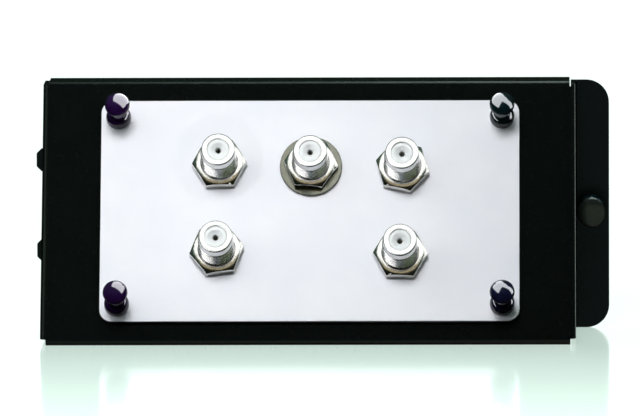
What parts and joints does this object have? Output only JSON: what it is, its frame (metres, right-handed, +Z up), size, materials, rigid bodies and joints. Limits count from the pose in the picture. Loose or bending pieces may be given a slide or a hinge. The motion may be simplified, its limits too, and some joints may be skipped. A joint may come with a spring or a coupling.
{
  "type": "coaxial splitter",
  "caption": "Wall-panel coaxial splitter: a folded black bracket with a sloped front, F-type input and output ports through a white plate, and push-in fasteners.",
  "frame": {"origin": "on the surface that the module stands on, in the middle of the bracket's bottom wall", "axes": "+X to the right seen from the front, +Y from the front towards the back, +Z up"},
  "size_m": [0.1539, 0.0563, 0.0675],
  "materials": {
    "black_powder_coat": "fine satin powder coat",
    "white_plate": "smooth satin white",
    "plated_port": "bright nickel plate",
    "plated_nut": "bright nickel plate",
    "plated_washer": "plain zinc plate",
    "white_insulator": "smooth white",
    "contact_bronze": "tinned bronze",
    "black_nylon": "glossy moulded",
    "tinned_steel": "dull tin plate",
    "board_laminate": "solder mask",
    "ferrite": "fired ceramic",
    "copper_wire": "enamelled copper",
    "resistor_black": "glazed",
    "capacitor_tan": "fired ceramic"
  },
  "bodies": {
    "module": {"blocking_capacitors": "capacitor_tan", "bracket": "black_powder_coat", "case_cover": "tinned_steel", "circuit_board": "board_laminate", "combining_cores": "ferrite", "core_windings": "copper_wire", "corner_grommet_1": "black_nylon", "corner_grommet_2": "black_nylon", "corner_grommet_3": "black_nylon", "corner_grommet_4": "black_nylon", "ear_grommet": "black_nylon", "input_contact": "contact_bronze", "input_insulator": "white_insulator", "input_nut": "plated_nut", "input_port": "plated_port", "input_washer": "plated_washer", "isolation_resistors": "resistor_black", "label_plate": "white_plate", "matching_cores": "ferrite", "output_contact_1": "contact_bronze", "output_contact_2": "contact_bronze", "output_contact_3": "contact_bronze", "output_contact_4": "contact_bronze", "output_insulator_1": "white_insulator", "output_insulator_2": "white_insulator", "output_insulator_3": "white_insulator", "output_insulator_4": "white_insulator", "output_nut_1": "plated_nut", "output_nut_2": "plated_nut", "output_nut_3": "plated_nut", "output_nut_4": "plated_nut", "output_port_1": "plated_port", "output_port_2": "plated_port", "output_port_3": "plated_port", "output_port_4": "plated_port", "splitter_case": "tinned_steel"},
    "plunger_upper_left": {"corner_plunger_1": "black_nylon"},
    "plunger_upper_right": {"corner_plunger_2": "black_nylon"},
    "plunger_lower_left": {"corner_plunger_3": "black_nylon"},
    "plunger_lower_right": {"corner_plunger_4": "black_nylon"},
    "plunger_ear": {"ear_plunger": "black_nylon"}
  },
  "joints": [
    {"name": "push_upper_left", "type": "slide", "parent": "module", "child": "plunger_upper_left", "axis": [0, 0.9063, -0.4226], "range_m": [0, 0.0055]},
    {"name": "push_upper_right", "type": "slide", "parent": "module", "child": "plunger_upper_right", "axis": [0, 0.9063, -0.4226], "range_m": [0, 0.0055]},
    {"name": "push_lower_left", "type": "slide", "parent": "module", "child": "plunger_lower_left", "axis": [0, 0.9063, -0.4226], "range_m": [0, 0.0055]},
    {"name": "push_lower_right", "type": "slide", "parent": "module", "child": "plunger_lower_right", "axis": [0, 0.9063, -0.4226], "range_m": [0, 0.0055]},
    {"name": "push_ear", "type": "slide", "parent": "module", "child": "plunger_ear", "axis": [0, 1, 0], "range_m": [0, 0.008]}
  ]
}
